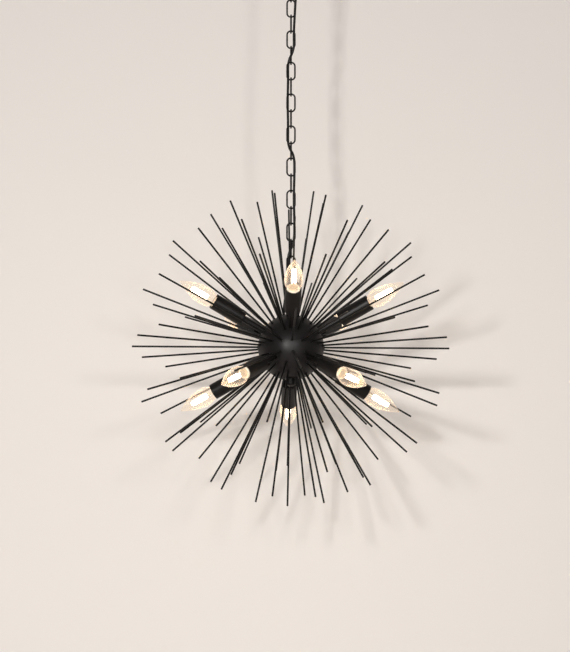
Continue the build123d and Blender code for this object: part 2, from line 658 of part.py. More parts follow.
# ------------------------------------------------------------------------------------------ output
def all_parts() -> dict[str, Part]:
    """Every sub-part by name."""
    parts = {
        "ceiling_bracket": ceiling_bracket(),
        "mount_nipple": mount_nipple(),
        "nipple_nuts": nipple_nuts(),
        "canopy": canopy(),
        "canopy_collar": canopy_collar(),
        "canopy_loop": canopy_loop(),
        "canopy_bushing": canopy_bushing(),
        "supply_cord": supply_cord(),
        "hub_loop": hub_loop(),
        "hub_upper_shell": hub_upper_shell(),
        "hub_lower_shell": hub_lower_shell(),
        "centre_tube": centre_tube(),
        "tube_nuts": tube_nuts(),
        "bottom_cap_nut": bottom_cap_nut(),
        "hub_bushing": hub_bushing(),
        "terminal_block": terminal_block(),
        "lamp_wires": on_every_lamp(lamp_wire()),
        "arm_nipples": on_every_lamp(arm_nipple()),
        "arm_tubes": on_every_lamp(arm_tube()),
        "arm_locknuts": on_every_lamp(arm_locknut()),
        "lamp_sleeves": on_every_lamp(lamp_sleeve()),
        "lampholders": on_every_lamp(lampholder()),
        "bulb_caps": on_every_lamp(bulb_cap()),
        "bulb_glasses": on_every_lamp(bulb_glass()),
        "bulb_stems": on_every_lamp(bulb_stem()),
        "bulb_filaments": on_every_lamp(bulb_filament()),
    }
    for number in range(1, LINK_COUNT + 1):
        parts[f"chain_link_{number}"] = chain_link(number)
    for number, row in enumerate(ROD_ROWS, start=1):
        parts[f"rods_row_{number}"] = rods_row(row)
    return parts


def main() -> None:
    """Write one STEP file for each sub-part."""
    os.makedirs("parts", exist_ok=True)
    for name, part in all_parts().items():
        export_step(part, f"parts/{name}.step")


main()
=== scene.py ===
"""Looks of the sputnik chandelier: smooth rods and links, woven cord, lit candle bulbs, a studio.

Everything is in metres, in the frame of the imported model: the origin is the middle of the ceiling
face, +Z is up and -Y is the front. Azimuth 0 is the front and turns towards +X; a polar angle
counts down from straight up.
"""

import json
import logging
import math
from collections.abc import Callable, Sequence
from dataclasses import dataclass, field
from enum import Enum

import bpy
from mathutils import Matrix, Vector


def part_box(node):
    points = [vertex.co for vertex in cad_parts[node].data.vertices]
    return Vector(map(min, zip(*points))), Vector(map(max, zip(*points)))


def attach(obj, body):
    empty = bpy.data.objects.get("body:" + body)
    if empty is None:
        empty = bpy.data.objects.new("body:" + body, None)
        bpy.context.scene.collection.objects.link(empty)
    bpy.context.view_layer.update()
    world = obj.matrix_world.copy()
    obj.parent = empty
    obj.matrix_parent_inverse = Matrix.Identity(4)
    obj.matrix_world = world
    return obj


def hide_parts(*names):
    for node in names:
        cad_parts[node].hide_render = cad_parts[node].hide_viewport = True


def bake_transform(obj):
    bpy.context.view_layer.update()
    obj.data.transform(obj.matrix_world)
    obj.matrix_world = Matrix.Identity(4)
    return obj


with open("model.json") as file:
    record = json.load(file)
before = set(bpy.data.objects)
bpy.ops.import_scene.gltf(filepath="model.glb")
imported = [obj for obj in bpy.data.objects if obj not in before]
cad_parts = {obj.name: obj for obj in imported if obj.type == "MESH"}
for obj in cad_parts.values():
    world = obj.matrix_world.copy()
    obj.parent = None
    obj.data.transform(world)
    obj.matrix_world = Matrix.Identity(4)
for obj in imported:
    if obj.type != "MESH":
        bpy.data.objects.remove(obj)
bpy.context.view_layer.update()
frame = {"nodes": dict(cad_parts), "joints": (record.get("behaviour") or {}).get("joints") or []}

log = logging.getLogger("chandelier")

MM = 0.001
MIX_FIRST, MIX_SECOND, MIX_RESULT = 6, 7, 2  # the colour sockets of a Mix node
Triple = tuple[float, float, float]
Colour = Triple


# ----------------------------------------------------------------------------------- shader helpers
class Signal:
    """An output socket whose arithmetic adds Math nodes to its tree."""

    def __init__(self, shader: "Shader", socket: bpy.types.NodeSocket) -> None:
        """Wrap one socket of a shader's tree."""
        self.shader = shader
        self.socket = socket

    def _maths(self, operation: str, first: object, second: object) -> "Signal":
        """Add one Math node and return its result."""
        node = self.shader.node("ShaderNodeMath", {"operation": operation}, {0: first, 1: second})
        return Signal(self.shader, node.outputs[0])

    def __add__(self, other: object) -> "Signal":
        """Sum of two values."""
        return self._maths("ADD", self, other)

    __radd__ = __add__

    def __sub__(self, other: object) -> "Signal":
        """This value less another."""
        return self._maths("SUBTRACT", self, other)

    def __rsub__(self, other: object) -> "Signal":
        """Another value less this one."""
        return self._maths("SUBTRACT", other, self)

    def __mul__(self, other: object) -> "Signal":
        """Product of two values."""
        return self._maths("MULTIPLY", self, other)

    __rmul__ = __mul__

    def __pow__(self, other: object) -> "Signal":
        """This value raised to a power."""
        return self._maths("POWER", self, other)


@dataclass(frozen=True)
class Grain:
    """A noise: bumps per metre, levels of finer noise, and a factor on each axis."""

    scale: float
    detail: float
    stretch: Triple = (1.0, 1.0, 1.0)


class Shader:
    """The node tree of a material or of the world."""

    def __init__(
        self, owner: bpy.types.Material | bpy.types.World, end: str = "ShaderNodeOutputMaterial"
    ) -> None:
        """Empty the owner's tree and give it an output node.

        Args:
            owner: The material or the world.
            end: The type of its output node.
        """
        owner.use_nodes = True
        self.owner = owner
        self.tree = owner.node_tree
        self.tree.nodes.clear()
        self.output = self.node(end)

    def node(
        self, kind: str, settings: dict[str, object] | None = None, sockets: dict | None = None
    ) -> bpy.types.Node:
        """Add a node.

        Args:
            kind: The node's type.
            settings: Its own settings, set first.
            sockets: Values or links for its inputs, by name or number.

        Returns:
            The new node.
        """
        node = self.tree.nodes.new(kind)
        for key, value in (settings or {}).items():
            setattr(node, key, value)
        for key, value in (sockets or {}).items():
            socket = node.inputs[key]
            if isinstance(value, Signal):
                self.tree.links.new(value.socket, socket)
            elif isinstance(value, tuple) and socket.type == "RGBA":
                socket.default_value = (*value, 1.0)
            else:
                socket.default_value = value
        return node

    def out(self, node: bpy.types.Node, socket: str | int = 0) -> Signal:
        """One output of a node, as a signal."""
        return Signal(self, node.outputs[socket])

    def camera_ray(self) -> Signal:
        """1 where the camera looks straight at the surface, and 0 for every other ray."""
        return self.out(self.node("ShaderNodeLightPath"), "Is Camera Ray")

    def noise(self, grain: Grain) -> Signal:
        """Smooth noise between 0 and 1.

        Args:
            grain: Its scale, detail and stretch on the object.

        Returns:
            The noise value.
        """
        place = self.out(self.node("ShaderNodeTexCoord"), "Object")
        mapping = self.node("ShaderNodeMapping", None, {"Vector": place, "Scale": grain.stretch})
        sockets = {"Vector": self.out(mapping), "Scale": grain.scale, "Detail": grain.detail}
        return self.out(self.node("ShaderNodeTexNoise", None, sockets), "Fac")

    def mix(
        self, factor: Signal | float, first: Signal | Colour, second: Signal | Colour
    ) -> Signal:
        """Blend two colours.

        Args:
            factor: The second colour's share.
            first: The colour at 0.
            second: The colour at 1.

        Returns:
            The blended colour.
        """
        settings = {"data_type": "RGBA", "blend_type": "MIX"}
        sockets = {0: factor, MIX_FIRST: first, MIX_SECOND: second}
        return self.out(self.node("ShaderNodeMix", settings, sockets), MIX_RESULT)

    def ramp(self, factor: Signal, low: float, high: float) -> Signal:
        """Value between 0 and 1 that rises as the factor goes from low to high."""
        sockets = {"Value": factor, "From Min": low, "From Max": high}
        return self.out(self.node("ShaderNodeMapRange", {"clamp": True}, sockets))

    def bump(self, height: Signal, strength: float, distance: float) -> Signal:
        """Normal that follows a height in metres."""
        sockets = {"Height": height, "Strength": strength, "Distance": distance}
        return self.out(self.node("ShaderNodeBump", None, sockets))

    def principled(self, sockets: dict) -> bpy.types.Node:
        """One Principled surface."""
        return self.node("ShaderNodeBsdfPrincipled", None, sockets)

    def blend(
        self, share: Signal, first: bpy.types.Node, second: bpy.types.Node
    ) -> bpy.types.Node:
        """Mix two surfaces.

        Args:
            share: The second surface's share.
            first: The surface at 0.
            second: The surface at 1.

        Returns:
            The mixed surface.
        """
        sockets = {0: share, 1: self.out(first), 2: self.out(second)}
        return self.node("ShaderNodeMixShader", None, sockets)

    def finish(self, surface: bpy.types.Node) -> bpy.types.Material | bpy.types.World:
        """Connect the surface and return the tree's owner."""
        self.tree.links.new(surface.outputs[0], self.output.inputs["Surface"])
        return self.owner


# ----------------------------------------------------------------------------------------- finishes
@dataclass(frozen=True)
class Coat:
    """An opaque finish: patches of a second colour, and a fine grain that raises the surface."""

    name: str
    colour: Colour
    second: Colour
    roughness: float
    patches: Grain
    patch_edges: tuple[float, float]
    grain: Grain
    grain_height: float
    bump: float
    patch_share: float = 0.5
    patch_roughness: float = 0.0
    grain_roughness: float = 0.0
    roughness_drop: float = 0.04
    metallic: float = 0.0
    sheen: float = 0.5

    def material(self) -> bpy.types.Material:
        """Build the material."""
        shader = Shader(bpy.data.materials.new(self.name))
        patch = shader.ramp(shader.noise(self.patches), *self.patch_edges)
        grain = shader.noise(self.grain)
        rough = patch * self.patch_roughness + grain * self.grain_roughness
        sockets = {
            "Base Color": shader.mix(patch * self.patch_share, self.colour, self.second),
            "Metallic": self.metallic,
            "Roughness": rough + (self.roughness - self.roughness_drop),
            "Normal": shader.bump(grain, self.bump, self.grain_height),
            "Specular IOR Level": self.sheen,
        }
        return shader.finish(shader.principled(sockets))


@dataclass(frozen=True)
class PowderCoat(Coat):
    """Black powder coat on steel: a fine pebbled skin, faint cloudiness and a trace of dust."""

    patches: Grain = Grain(28.0, 4.0)
    patch_edges: tuple[float, float] = (0.35, 0.75)
    grain: Grain = Grain(900.0, 2.0)
    grain_height: float = 0.06 * MM
    bump: float = 0.35
    patch_share: float = 0.35
    patch_roughness: float = 0.12
    grain_roughness: float = 0.06
    sheen: float = 0.32


@dataclass(frozen=True)
class PlatedMetal(Coat):
    """Bare or plated metal with fine turning marks and a few duller patches."""

    patches: Grain = Grain(90.0, 4.0)
    patch_edges: tuple[float, float] = (0.4, 0.7)
    grain: Grain = Grain(1500.0, 2.0, (1.0, 1.0, 6.0))
    grain_height: float = 0.03 * MM
    bump: float = 0.2
    patch_roughness: float = 0.18
    grain_roughness: float = 0.08
    metallic: float = 1.0


@dataclass(frozen=True)
class Jacket(Coat):
    """Moulded plastic or a cord's jacket: soft sheen with a fine grain."""

    patches: Grain = Grain(60.0, 5.0)
    patch_edges: tuple[float, float] = (0.5, 0.8)
    grain: Grain = Grain(700.0, 3.0)
    grain_height: float = 0.08 * MM
    bump: float = 0.3
    grain_roughness: float = 0.15
    roughness_drop: float = 0.07


@dataclass(frozen=True)
class ClearGlass:
    """Clear bulb glass: most light goes straight through it, and its rim reflects.

    The glass also carries painted light: it glows, and its skin turns lighter and warmer at the
    rim, in place of the lit filaments' light in the glass.
    """

    name: str
    tint: Colour = (1.0, 0.985, 0.96)
    # The skin's colours are a painted reflection, lighter and warmer at the rim; the glows are
    # painted glow of the glass itself.
    body: Colour = (0.22, 0.15, 0.09)
    painted_rim_reflection: Colour = (0.62, 0.50, 0.38)
    painted_core_glow: Colour = (1.0, 0.92, 0.84)
    painted_rim_glow: Colour = (0.80, 0.62, 0.48)
    painted_glow_strength: float = 0.8
    least_share: float = 0.07
    rim_share: float = 0.60
    rim_power: float = 3.0
    facing_blend: float = 0.5
    smudges: Grain = Grain(60.0, 2.0)
    smudge_roughness: float = 0.06
    roughness: float = 0.12
    sheen: float = 0.4

    def material(self) -> bpy.types.Material:
        """Build the material."""
        shader = Shader(bpy.data.materials.new(self.name))
        through = shader.node("ShaderNodeBsdfTransparent", None, {"Color": self.tint})
        weight = shader.node("ShaderNodeLayerWeight", None, {"Blend": self.facing_blend})
        facing = shader.out(weight, "Facing")
        sockets = {
            # Painted reflection: the skin turns from the dark body colour to a lighter, warmer
            # colour towards the rim.
            "Base Color": shader.mix(facing, self.body, self.painted_rim_reflection),
            "Roughness": shader.noise(self.smudges) * self.smudge_roughness + self.roughness,
            "Specular IOR Level": self.sheen,
            # Painted glow: the glass itself emits light, warmer towards the rim, in place of the
            # lit filaments' light in it.
            "Emission Color": shader.mix(facing, self.painted_core_glow, self.painted_rim_glow),
            "Emission Strength": self.painted_glow_strength,
        }
        skin = shader.principled(sockets)
        share = facing**self.rim_power * self.rim_share + self.least_share
        return shader.finish(shader.blend(share, through, skin))


@dataclass(frozen=True)
class Glow:
    """Lit filament: warm white, a little warmer between its chips."""

    name: str
    body: Colour = (0.9, 0.75, 0.45)
    hot: Colour = (1.0, 0.88, 0.70)
    warm: Colour = (1.0, 0.78, 0.52)
    strength: float = 17.0
    roughness: float = 0.5
    chips: Grain = Grain(420.0, 1.0)
    chip_edges: tuple[float, float] = (0.35, 0.65)

    def material(self) -> bpy.types.Material:
        """Build the material."""
        shader = Shader(bpy.data.materials.new(self.name))
        chips = shader.ramp(shader.noise(self.chips), *self.chip_edges)
        sockets = {
            "Base Color": self.body,
            "Roughness": self.roughness,
            "Emission Color": shader.mix(chips, self.warm, self.hot),
            "Emission Strength": self.strength,
        }
        return shader.finish(shader.principled(sockets))


class Finish(Enum):
    """Every finish of the chandelier."""

    PAINT = PowderCoat("satin_black_paint", (0.0055, 0.0045, 0.0042), (0.016, 0.013, 0.012), 0.36)
    HUB_PAINT = PowderCoat("hub_paint", (0.0075, 0.006, 0.006), (0.020, 0.017, 0.017), 0.38)
    ROD_PAINT = PowderCoat(
        "rod_paint", (0.004, 0.0035, 0.003), (0.010, 0.008, 0.007), 0.38, grain=Grain(1400.0, 2.0)
    )
    ZINC = PlatedMetal("zinc_plated_steel", (0.58, 0.57, 0.56), (0.36, 0.35, 0.34), 0.34)
    BRASS = PlatedMetal("nickel_brass_cap", (0.72, 0.64, 0.48), (0.52, 0.44, 0.30), 0.28)
    CORD = Jacket("black_cord_jacket", (0.007, 0.0065, 0.006), (0.018, 0.017, 0.016), 0.50)
    BLACK_PLASTIC = Jacket("black_plastic", (0.018, 0.018, 0.018), (0.040, 0.039, 0.038), 0.45)
    WHITE_PLASTIC = Jacket("white_plastic", (0.78, 0.76, 0.71), (0.62, 0.59, 0.54), 0.42)
    GLASS = ClearGlass("bulb_glass")
    STEM_GLASS = ClearGlass("stem_glass", (0.98, 0.97, 0.95), least_share=0.12)
    FILAMENT = Glow("filament_glow")


_MADE: dict[Finish, bpy.types.Material] = {}


def material_of(finish: Finish) -> bpy.types.Material:
    """The one material of a finish, made when it is first asked for."""
    if finish not in _MADE:
        _MADE[finish] = finish.value.material()
    return _MADE[finish]


def dress(names: Sequence[str], finish: Finish) -> int:
    """Give CAD nodes a finish.

    Args:
        names: Node names.
        finish: The finish for all their slots.

    Returns:
        How many nodes were dressed.
    """
    for name in names:
        node = frame["nodes"][name]
        node.data.materials.clear()
        node.data.materials.append(material_of(finish))
        log.info("%s: dressed in %s", name, finish.value.name)
    return len(names)


# ------------------------------------------------------------------------------------- mesh helpers
def ring_at(
    centre: Vector, first: Vector, second: Vector, radius: float, sides: int
) -> list[Vector]:
    """Points of a circle.

    Args:
        centre: Its middle.
        first: Direction of its first point.
        second: Direction of the point a quarter turn on.
        radius: Its radius.
        sides: How many points.

    Returns:
        The points, in order.
    """
    turns = [math.tau * side / sides for side in range(sides)]
    return [centre + (first * math.cos(turn) + second * math.sin(turn)) * radius for turn in turns]


@dataclass
class Skin:
    """Vertices and faces of a mesh under construction."""

    points: list[Vector] = field(default_factory=list)
    faces: list[tuple[int, ...]] = field(default_factory=list)

    def add_rings(
        self, rings: Sequence[Sequence[Vector]], closed: bool = False, capped: bool = True
    ) -> None:
        """Join rings of equal count with quads.

        Args:
            rings: Rings of points, in order.
            closed: Whether the last ring joins the first.
            capped: Whether the two ends get a face.
        """
        base = len(self.points)
        sides = len(rings[0])
        for ring in rings:
            self.points.extend(ring)
        count = len(rings)
        for index in range(count if closed else count - 1):
            low = base + index * sides
            high = base + (index + 1) % count * sides
            for side in range(sides):
                step = (side + 1) % sides
                self.faces.append((low + side, low + step, high + step, high + side))
        if capped and not closed:
            self.faces.append(tuple(reversed(range(base, base + sides))))
            last = base + (count - 1) * sides
            self.faces.append(tuple(range(last, last + sides)))

    def lathe(
        self, place: Matrix, outline: Sequence[tuple[float, float]], sides: int, closed: bool
    ) -> None:
        """Turn an outline of (radius, height) round the Z axis of a place.

        Args:
            place: Where the axis stands.
            outline: Corners in metres.
            sides: Steps round the axis.
            closed: Whether the outline returns to its first corner.
        """
        turns = [math.tau * side / sides for side in range(sides)]
        rings = [
            [place @ Vector((r * math.cos(turn), r * math.sin(turn), height)) for turn in turns]
            for r, height in outline
        ]
        self.add_rings(rings, closed=closed, capped=not closed)

    def piece(self, name: str, finish: Finish, sharp: float = 40.0) -> bpy.types.Object:
        """Make the object, smooth but for edges sharper than an angle.

        Args:
            name: The piece's name.
            finish: Its finish.
            sharp: Degrees above which an edge stays sharp.

        Returns:
            The new object.
        """
        mesh = bpy.data.meshes.new(name)
        mesh.from_pydata([tuple(point) for point in self.points], [], self.faces)
        mesh.validate()
        mesh.shade_smooth()
        mesh.set_sharp_from_angle(angle=math.radians(sharp))
        mesh.materials.append(material_of(finish))
        made = bpy.data.objects.new(name, mesh)
        bpy.context.scene.collection.objects.link(made)
        log.info("%s: %d faces in %s", name, len(self.faces), finish.value.name)
        return made


def tube_rings(
    path: Sequence[Vector], radius: float | Callable[[float], float], sides: int
) -> list[list[Vector]]:
    """Rings square to an open path, turned as little as possible from one to the next.

    Args:
        path: Points of the path.
        radius: Tube radius, or a function of the share of the path.
        sides: Points in each ring.

    Returns:
        One ring for each point.
    """
    rings = []
    last = len(path) - 1
    side_way = Vector((1, 0, 0))
    for index, point in enumerate(path):
        ahead = path[min(index + 1, last)] - path[max(index - 1, 0)]
        ahead.normalize()
        side_way = (side_way - ahead * side_way.dot(ahead)).normalized()
        size = radius(index / last) if callable(radius) else radius
        rings.append(ring_at(point, side_way, ahead.cross(side_way), size, sides))
    return rings


def tangent_arc(
    start: Vector, way: Vector, end: Vector, steps: int
) -> tuple[list[Vector], Vector]:
    """Points of a flat arc that leaves its start in a given direction.

    Args:
        start: First point.
        way: Direction at the start.
        end: Last point.
        steps: Straight pieces.

    Returns:
        The points with both ends, and the direction at the end.
    """
    chord = end - start
    turn = 2 * math.atan2(way.x * chord.y - way.y * chord.x, way.dot(chord))
    radius = chord.length / (2 * math.sin(turn / 2))
    side = Vector((-way.y, way.x)).normalized() * radius
    centre = start + side
    points = [centre + Matrix.Rotation(turn * step / steps, 2) @ -side for step in range(steps + 1)]
    return points, Matrix.Rotation(turn, 2) @ way


# ---------------------------------------------------------------------------------------- placement
@dataclass(frozen=True)
class Row:
    """A row of rods or lamps on the hub: polar angle, count, and azimuth of the first."""

    polar: float
    count: int
    first: float

    def places(self, middle: Vector) -> list[Matrix]:
        """Stand a frame in each of the row's directions.

        Args:
            middle: The hub's middle, where they all start.

        Returns:
            Frames whose Z axes point out of the hub.
        """
        made = []
        drop = math.radians(self.polar)
        for index in range(self.count):
            turn = math.radians(self.first + 360.0 * index / self.count)
            out = math.sin(drop)
            way = Vector((out * math.sin(turn), -out * math.cos(turn), math.cos(drop)))
            turned = way.to_track_quat("Z", "Y").to_matrix().to_4x4()
            made.append(Matrix.Translation(middle) @ turned)
        return made


def direction(azimuth: float, height: float) -> Vector:
    """Unit direction from degrees of azimuth and of height above level."""
    turn, rise = math.radians(azimuth), math.radians(height)
    out = math.cos(rise)
    return Vector((math.sin(turn) * out, -math.cos(turn) * out, math.sin(rise)))


def middle_of(node: str) -> Vector:
    """Middle of a CAD node's box."""
    low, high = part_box(node)
    return (Vector(low) + Vector(high)) / 2


def joint_height(name: str) -> float:
    """Height of a joint's axis."""
    return next(joint for joint in frame["joints"] if joint["name"] == name)["pos_m"][2]


# --------------------------------------------------------------------------------------- the object
@dataclass
class CeilingMount:
    """Bracket, canopy and loop at the ceiling."""

    painted: tuple[str, ...] = ("canopy", "canopy_collar", "canopy_loop")
    plated: tuple[str, ...] = ("ceiling_bracket", "mount_nipple", "nipple_nuts")
    moulded: tuple[str, ...] = ("canopy_bushing",)

    def build(self) -> int:
        """Dress the CAD nodes of the ceiling end and return their count."""
        count = dress(self.painted, Finish.PAINT)
        count += dress(self.plated, Finish.ZINC)
        return count + dress(self.moulded, Finish.BLACK_PLASTIC)


@dataclass
class Chain:
    """Welded links of round wire."""

    count: int = 20
    length: float = 39.1 * MM
    width: float = 18.5 * MM
    wire: float = 3.2 * MM
    bend_steps: int = 18
    straight_steps: int = 8
    sides: int = 14
    weld_half_length: float = 1.6 * MM
    weld_swell: float = 0.16 * MM

    def outline(self) -> list[Triple]:
        """Go once round the middle of a link's wire.

        Returns:
            Across, along and wire radius at each station, with the weld's swell on one side.
        """
        bend = (self.width - self.wire) / 2
        straight = (self.length - self.width) / 2
        radius = self.wire / 2
        stations = []
        for side in (1, -1):
            for step in range(self.bend_steps + 1):
                turn = math.pi * step / self.bend_steps
                along = side * (straight + bend * math.sin(turn))
                stations.append((side * bend * math.cos(turn), along, radius))
            for step in range(1, self.straight_steps):
                along = side * straight * (1 - 2 * step / self.straight_steps)
                near = side > 0 and abs(along) < self.weld_half_length
                stations.append((-side * bend, along, radius + (self.weld_swell if near else 0.0)))
        return stations

    def link(self, number: int) -> bpy.types.Object:
        """Make one smooth link where its CAD node is.

        Args:
            number: The link's number, counted from the hub.

        Returns:
            The link.
        """
        node = f"chain_link_{number}"
        low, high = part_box(node)
        middle = middle_of(node)
        along_x = high[0] - low[0] > high[1] - low[1]
        across = Vector((1, 0, 0)) if along_x else Vector((0, 1, 0))
        up = Vector((0, 0, 1))
        square = across.cross(up)
        stations = self.outline()
        rings = []
        for index, (out, along, radius) in enumerate(stations):
            before = Vector(stations[index - 1][:2])
            after = Vector(stations[(index + 1) % len(stations)][:2])
            way = (after - before).normalized()
            normal = across * way.y - up * way.x
            point = middle + across * out + up * along
            rings.append(ring_at(point, normal, square, radius, self.sides))
        skin = Skin()
        skin.add_rings(rings, closed=True)
        return skin.piece(f"link_{number}_wire", Finish.PAINT)

    def build(self) -> int:
        """Build every link and return their count."""
        for number in range(1, self.count + 1):
            made = self.link(number)
            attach(made, f"link_{number}")
            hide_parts(f"chain_link_{number}")
        return self.count


@dataclass
class SupplyCord:
    """The cord woven through the chain, in one stretch for each pair of neighbouring bodies.

    Every stretch, those in bent_from_below too, is only baked where it lies; none is bent or tied
    to a body.
    """

    route: tuple[Triple, ...] = (
        (0.0140, -0.0160, -0.0140),
        (0.0140, -0.0160, -0.0400),
        (0.0096, -0.0104, -0.0800),
        (0.0072, -0.0053, -0.1240),
        (0.0051, -0.0064, -0.1660),
        (0.0061, -0.0060, -0.1976),
        (-0.0061, 0.0060, -0.2182),
        (-0.0052, 0.0066, -0.2520),
        (-0.0066, 0.0052, -0.3000),
        (-0.0053, 0.0059, -0.3520),
        (-0.0060, 0.0061, -0.3926),
        (0.0060, -0.0061, -0.4136),
        (0.0066, -0.0051, -0.4490),
        (0.0050, -0.0066, -0.4980),
        (0.0065, -0.0054, -0.5490),
        (0.0060, -0.0061, -0.5886),
        (-0.0060, 0.0061, -0.6092),
        (-0.0050, 0.0064, -0.6400),
        (-0.0063, 0.0052, -0.6740),
        (-0.0149, 0.0190, -0.7166),
        (-0.0080, 0.0102, -0.7505),
        (-0.0075, 0.0096, -0.7772),
    )
    diameter: float = 4.8 * MM
    links: int = 20
    sides: int = 18
    resolution: int = 14
    blend_half_length: float = 9.0 * MM
    bent_from_below: frozenset[int] = frozenset({4, 10, 11, 12, 13, 15, 16})

    def line(self) -> list[Vector]:
        """Follow the smooth curve that has the route as its control points.

        Returns:
            Points along the curve, from the canopy down.
        """
        curve = bpy.data.curves.new("cord_line", "CURVE")
        curve.dimensions = "3D"
        spline = curve.splines.new("NURBS")
        spline.points.add(len(self.route) - 1)
        for point, place in zip(spline.points, self.route):
            point.co = (*place, 1.0)
        spline.order_u = 3
        spline.use_endpoint_u = True
        spline.resolution_u = self.resolution
        holder = bpy.data.objects.new("cord_line", curve)
        bpy.context.scene.collection.objects.link(holder)
        mesh = bpy.data.meshes.new_from_object(holder)
        points = [vertex.co.copy() for vertex in mesh.vertices]
        bpy.data.objects.remove(holder)
        bpy.data.meshes.remove(mesh)
        return points

    def cuts(self, rings: Sequence[Sequence[Vector]]) -> list[int]:
        """Choose where one stretch ends and the next begins: at the middle of each link.

        Args:
            rings: The cord's rings, from the canopy down.

        Returns:
            Ring numbers, with the first and the last ring's.
        """
        heights = [sum(point.z for point in ring) / len(ring) for ring in rings]
        cuts = [0]
        for number in range(self.links, 0, -1):
            level = middle_of(f"chain_link_{number}").z
            gaps = [abs(height - level) for height in heights]
            cuts.append(gaps.index(min(gaps)))
        return cuts + [len(rings) - 1]

    def build(self) -> int:
        """Build the stretches and bake each where it lies.

        Returns:
            How many stretches were built.
        """
        rings = tube_rings(self.line(), self.diameter / 2, self.sides)
        cuts = self.cuts(rings)
        links = [f"link_{number}" for number in range(self.links, 0, -1)]
        bodies = ["ceiling_mount", *links, "hub"]
        for index, lower in enumerate(bodies[1:]):
            skin = Skin()
            skin.add_rings(rings[cuts[index] : cuts[index + 1] + 1], capped=False)
            if index == 0:
                skin.faces.append(tuple(reversed(range(self.sides))))
            made = skin.piece(f"cord_stretch_{index + 1}", Finish.CORD)
            height = joint_height(f"{lower}_swing")
            start = (0.0, 0.0, height + self.blend_half_length)
            end = (0.0, 0.0, height - self.blend_half_length)
            if index + 1 in self.bent_from_below:
                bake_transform(made)
            else:
                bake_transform(made)
            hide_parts("supply_cord")
        return len(links) + 1


@dataclass
class Hub:
    """The drilled ball, its loop and cap nut, and the rods that stand in it."""

    middle: Vector
    rows: tuple[Row, ...] = (
        Row(13.0, 5, 38.0),
        Row(31.0, 10, 23.0),
        Row(51.5, 15, 0.0),
        Row(69.5, 15, 11.0),
        Row(90.0, 20, 0.0),
        Row(110.0, 15, 2.0),
        Row(128.5, 15, 12.0),
        Row(150.0, 10, 24.0),
        Row(167.0, 5, 40.0),
    )
    radius: float = 62.0 * MM
    rod_radius: float = 1.75 * MM
    rod_start: float = 53.0 * MM
    rod_end: float = 298.5 * MM
    rod_chamfer: float = 0.4 * MM
    rod_sides: int = 14
    collar_radius: float = 3.1 * MM
    collar_height: float = 1.3 * MM
    collar_chamfer: float = 0.5 * MM
    collar_sunk: float = 0.1 * MM
    collar_sides: int = 20

    def rods(self, number: int, row: Row) -> None:
        """Make one row of smooth rods.

        Args:
            number: The row's number, counted from the top.
            row: Where its rods stand.
        """
        outline = (
            (self.rod_radius, self.rod_start),
            (self.rod_radius, self.rod_end - self.rod_chamfer),
            (self.rod_radius - self.rod_chamfer, self.rod_end),
        )
        skin = Skin()
        for place in row.places(self.middle):
            skin.lathe(place, outline, self.rod_sides, closed=False)
        made = skin.piece(f"rods_{number}", Finish.ROD_PAINT)
        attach(made, "hub")
        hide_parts(f"rods_row_{number}")

    def collars(self, number: int, row: Row) -> None:
        """Make the small pressed collars where a row's rods enter the hub.

        Args:
            number: The row's number, counted from the top.
            row: Where its rods stand.
        """
        foot = math.sqrt(self.radius**2 - self.collar_radius**2) - self.collar_sunk
        top = self.radius + self.collar_height
        outline = (
            (self.rod_radius, foot),
            (self.collar_radius, foot),
            (self.collar_radius, top - self.collar_chamfer),
            (self.collar_radius - self.collar_chamfer, top),
            (self.rod_radius, top),
        )
        skin = Skin()
        for place in row.places(self.middle):
            skin.lathe(place, outline, self.collar_sides, closed=True)
        made = skin.piece(f"rod_collars_{number}", Finish.ROD_PAINT)
        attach(made, "hub")

    def build(self) -> int:
        """Dress the ball and build its rods.

        Returns:
            How many nodes and pieces were dressed or built.
        """
        count = dress(("hub_upper_shell", "hub_lower_shell"), Finish.HUB_PAINT)
        count += dress(("hub_loop", "bottom_cap_nut"), Finish.PAINT)
        count += dress(("centre_tube", "tube_nuts"), Finish.ZINC)
        count += dress(("hub_bushing",), Finish.BLACK_PLASTIC)
        count += dress(("terminal_block",), Finish.WHITE_PLASTIC)
        for number, row in enumerate(self.rows, start=1):
            self.rods(number, row)
            self.collars(number, row)
            count += 2
        return count


